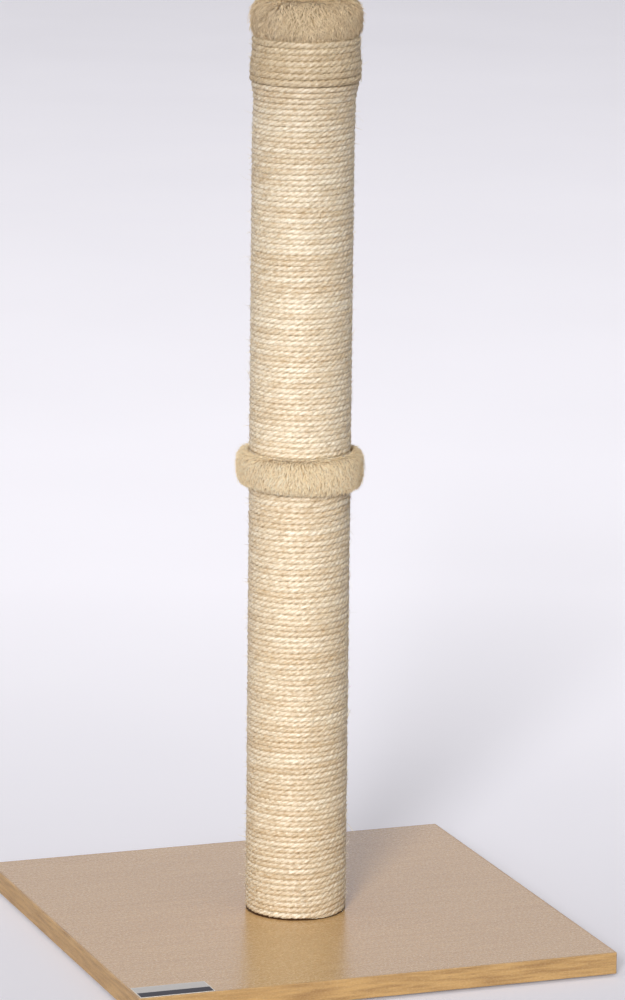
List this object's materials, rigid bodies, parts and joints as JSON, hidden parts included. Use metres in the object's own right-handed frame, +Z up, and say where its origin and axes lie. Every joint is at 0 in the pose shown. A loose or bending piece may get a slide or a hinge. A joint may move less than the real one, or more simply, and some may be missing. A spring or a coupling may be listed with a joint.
{
  "type": "cat scratching post",
  "caption": "Tall cat scratching post: rope-wound round column with a plush ring at mid height and a plush cap, standing on a square laminated board.",
  "frame": {"origin": "middle of the floor plane under the base board, on the axis of the post", "axes": "+Z up along the post, +X to the right along the front edge of the board, +Y to the rear; the label lies at the front left corner"},
  "size_m": [0.5, 0.5, 0.956],
  "materials": {
    "beech_laminate": "pale beech decor laminate, semi-gloss, fine speckled grain",
    "beech_edge": "golden beech edge band, satin, fine lengthwise grain",
    "chipboard": "raw chipboard, coarse flakes",
    "felt": "brown pressed felt",
    "label_foil": "blank satin foil label in pale grey and dark grey",
    "zinc_steel": "zinc-plated steel, satin",
    "card_tube": "spiral-wound brown cardboard",
    "plug_wood": "raw softwood and fibreboard discs",
    "sisal": "natural straw-coloured twisted sisal, matt with a slight sheen and loose fibres",
    "plush": "short beige plush, soft sheen",
    "wadding": "off-white foam and polyester wadding"
  },
  "bodies": {
    "root": {"base_core": "chipboard", "base_top_laminate": "beech_laminate", "base_bottom_laminate": "beech_laminate", "edge_band_front": "beech_edge", "edge_band_right": "beech_edge", "edge_band_rear": "beech_edge", "edge_band_left": "beech_edge", "foot_pad_front_left": "felt", "foot_pad_front_right": "felt", "foot_pad_rear_left": "felt", "foot_pad_rear_right": "felt", "corner_label": "label_foil", "base_bolt": "zinc_steel", "base_washer": "zinc_steel", "lower_tube": "card_tube", "upper_tube": "card_tube", "lower_foot_plug": "plug_wood", "lower_head_plug": "plug_wood", "upper_foot_plug": "plug_wood", "upper_head_plug": "plug_wood", "plug_nails": "zinc_steel", "lower_foot_insert": "zinc_steel", "lower_head_insert": "zinc_steel", "upper_foot_insert": "zinc_steel", "joining_stud": "zinc_steel", "lower_rope_wrap": "sisal", "lower_rope_turns": "sisal", "upper_rope_wrap": "sisal", "upper_rope_turns": "sisal", "binding_turns": "sisal", "ring_padding": "wadding", "ring_cover": "plush", "cap_padding": "wadding", "cap_cover": "plush", "cap_washer": "zinc_steel", "cap_screw": "zinc_steel"}
  },
  "joints": []
}
